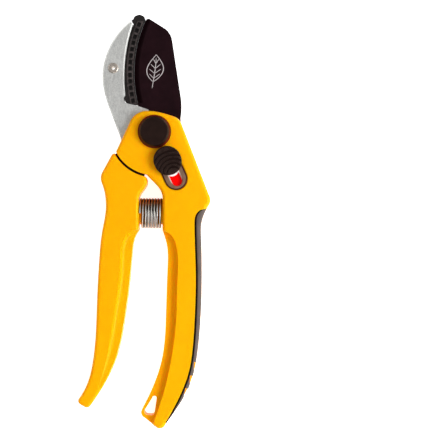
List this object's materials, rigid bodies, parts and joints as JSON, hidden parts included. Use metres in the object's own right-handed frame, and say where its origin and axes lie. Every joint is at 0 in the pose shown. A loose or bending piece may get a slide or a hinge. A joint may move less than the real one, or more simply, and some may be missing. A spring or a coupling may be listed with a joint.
{
  "type": "anvil pruning shears",
  "caption": "Hand pruning shears: a coated blade closes on a ribbed anvil; two moulded handles, return coil, thumb lock and hanging hole.",
  "frame": {"origin": "on the pivot axis, in the plane of the back faces that the shears rest on", "axes": "+Y from the pivot towards the jaws, +Z through the front face along the pivot axis, +X to the right seen from the front"},
  "size_m": [0.0652, 0.2047, 0.02],
  "materials": {
    "yellow_nylon": "satin moulded nylon",
    "grey_rubber": "matte soft grip",
    "satin_steel": "satin, shot-blasted",
    "black_nylon": "matte",
    "rivet_steel": "bright",
    "coated_steel": "smooth non-stick coating",
    "zinc_steel": "zinc plated",
    "bronze": "plain bearing bronze",
    "spring_steel": "bright drawn wire",
    "track_steel": "pressed steel",
    "bright_zinc": "bright die-cast zinc",
    "red_plastic": "gloss"
  },
  "bodies": {
    "anvil_side": {"right_handle": "yellow_nylon", "soft_grip": "grey_rubber", "anvil_arm": "satin_steel", "anvil_pad": "black_nylon", "pad_rivet": "rivet_steel", "pivot_bolt": "zinc_steel", "pivot_nut": "zinc_steel", "pivot_washer": "zinc_steel", "pivot_bush": "bronze", "thrust_washer": "zinc_steel", "wave_washer": "spring_steel", "pivot_cap": "black_nylon", "lock_track": "track_steel", "lock_indicator": "red_plastic", "lock_spring": "spring_steel", "return_spring": "spring_steel"},
    "blade_side": {"blade": "coated_steel", "left_handle": "yellow_nylon"},
    "lock": {"lock_slider": "bright_zinc", "lock_button": "black_nylon"}
  },
  "joints": [
    {"name": "blade_pivot", "type": "hinge", "parent": "anvil_side", "child": "blade_side", "pos_m": [0, 0, 0.008], "axis": [0, 0, -1], "range_deg": [0, 26], "deforming": ["return_spring"]},
    {"name": "lock_slide", "type": "slide", "parent": "anvil_side", "child": "lock", "axis": [0.4147, -0.91, 0], "range_m": [0, 0.0055]}
  ]
}
